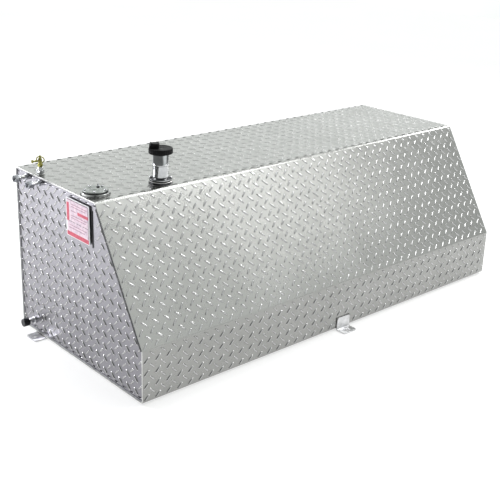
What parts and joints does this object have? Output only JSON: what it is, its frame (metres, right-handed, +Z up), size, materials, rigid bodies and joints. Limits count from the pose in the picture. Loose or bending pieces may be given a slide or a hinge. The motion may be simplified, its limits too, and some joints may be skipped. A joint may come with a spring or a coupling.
{
  "type": "wedge transfer tank",
  "caption": "Wedge-shaped aluminium tread-plate liquid tank with a locking filler cap, gauge sender, relief valve, side ports, drain and bolt-down brackets.",
  "frame": {"origin": "middle of the whole object in plan, at the underside of its mounting feet", "axes": "+X along the long side away from the end with the ports, +Y from the sloped front towards the upright back, +Z up"},
  "size_m": [1.4975, 0.671, 0.588],
  "materials": {
    "tread": "bright tread plate",
    "plain": "mill",
    "weld": "as welded",
    "chrome": "polished",
    "steel": "zinc plated",
    "brass": "machined",
    "black": "moulded",
    "rubber": "matte",
    "label": "printed"
  },
  "bodies": {
    "tank": {"tank_wrap": "tread", "end_plate_left": "tread", "end_plate_right": "tread", "end_weld_left": "weld", "end_weld_right": "weld", "baffle_left": "plain", "baffle_right": "plain", "bracket_front": "plain", "bracket_rear": "plain", "tab_left": "plain", "tab_right": "plain", "label_plate": "label", "label_pad": "rubber", "label_edge_strip": "rubber", "filler_weld_ring": "plain", "filler_gasket": "rubber", "filler_neck": "chrome", "filler_screw_1": "steel", "filler_screw_2": "steel", "filler_screw_3": "steel", "filler_screw_4": "steel", "filler_screw_5": "steel", "filler_screw_6": "steel", "sender_weld_ring": "plain", "sender_gasket": "rubber", "sender_plate": "steel", "sender_screw_1": "steel", "sender_screw_2": "steel", "sender_screw_3": "steel", "sender_screw_4": "steel", "sender_screw_5": "steel", "sender_terminal": "brass", "sender_stem": "plain", "valve_bung": "plain", "valve_riser": "steel", "valve_body": "brass", "port_fitting_rear": "steel", "port_nut_rear": "steel", "port_fitting_front": "steel", "port_nut_front": "steel", "drain_nipple": "steel", "pickup_tube": "plain"},
    "cap_carrier": {"cap_seal": "rubber"},
    "cap": {"filler_cap": "black", "cap_insert": "black", "cap_flap_pin": "steel"},
    "lock": {"cap_lock_barrel": "brass"},
    "key_flap": {"cap_key_flap": "black"},
    "relief_stem": {"valve_stem": "brass"},
    "relief_ring": {"valve_ring": "brass"},
    "gauge_arm": {"float_arm": "steel", "sender_float": "black"},
    "drain_carrier": {"drain_washer": "rubber"},
    "drain_closure": {"drain_cap": "steel"}
  },
  "joints": [
    {"name": "cap_lift", "type": "slide", "parent": "tank", "child": "cap_carrier", "axis": [0, 0, 1], "range_m": [0, 0.0061]},
    {"name": "cap_unscrew", "type": "hinge", "parent": "cap_carrier", "child": "cap", "pos_m": [-0.47875, -0.064, 0.48], "axis": [0, 0, 1], "range_deg": [0, 540]},
    {"name": "lock_turn", "type": "hinge", "parent": "cap", "child": "lock", "pos_m": [-0.48892, -0.05513, 0.48], "axis": [0, 0, 1], "range_deg": [0, 90]},
    {"name": "key_flap_open", "type": "hinge", "parent": "cap", "child": "key_flap", "pos_m": [-0.4991, -0.04625, 0.5852], "axis": [-0.6574, -0.7536, 0], "range_deg": [0, 105]},
    {"name": "relief_stem_pull", "type": "slide", "parent": "tank", "child": "relief_stem", "axis": [0, 0, 1], "range_m": [0, 0.0025], "stiffness_N_per_m": 400, "springref_m": -0.005},
    {"name": "relief_ring_swing", "type": "hinge", "parent": "relief_stem", "child": "relief_ring", "pos_m": [-0.69475, 0.184, 0.53], "axis": [0.7535, -0.6574, 0], "range_deg": [0, 150]},
    {"name": "gauge_arm_swing", "type": "hinge", "parent": "tank", "child": "gauge_arm", "pos_m": [-0.66775, -0.043, 0.244], "axis": [0, -1, 0], "range_deg": [0, 124]},
    {"name": "drain_pull", "type": "slide", "parent": "tank", "child": "drain_carrier", "axis": [-1, 0, 0], "range_m": [0, 0.0061]},
    {"name": "drain_unscrew", "type": "hinge", "parent": "drain_carrier", "child": "drain_closure", "pos_m": [-0.74, 0.236, 0.035], "axis": [-1, 0, 0], "range_deg": [0, 1080]}
  ],
  "couplings": [
    {"joint": "cap_lift", "follows": "cap_unscrew", "m_per_rad": 0.00063662},
    {"joint": "drain_pull", "follows": "drain_unscrew", "m_per_rad": 0.00031831}
  ]
}
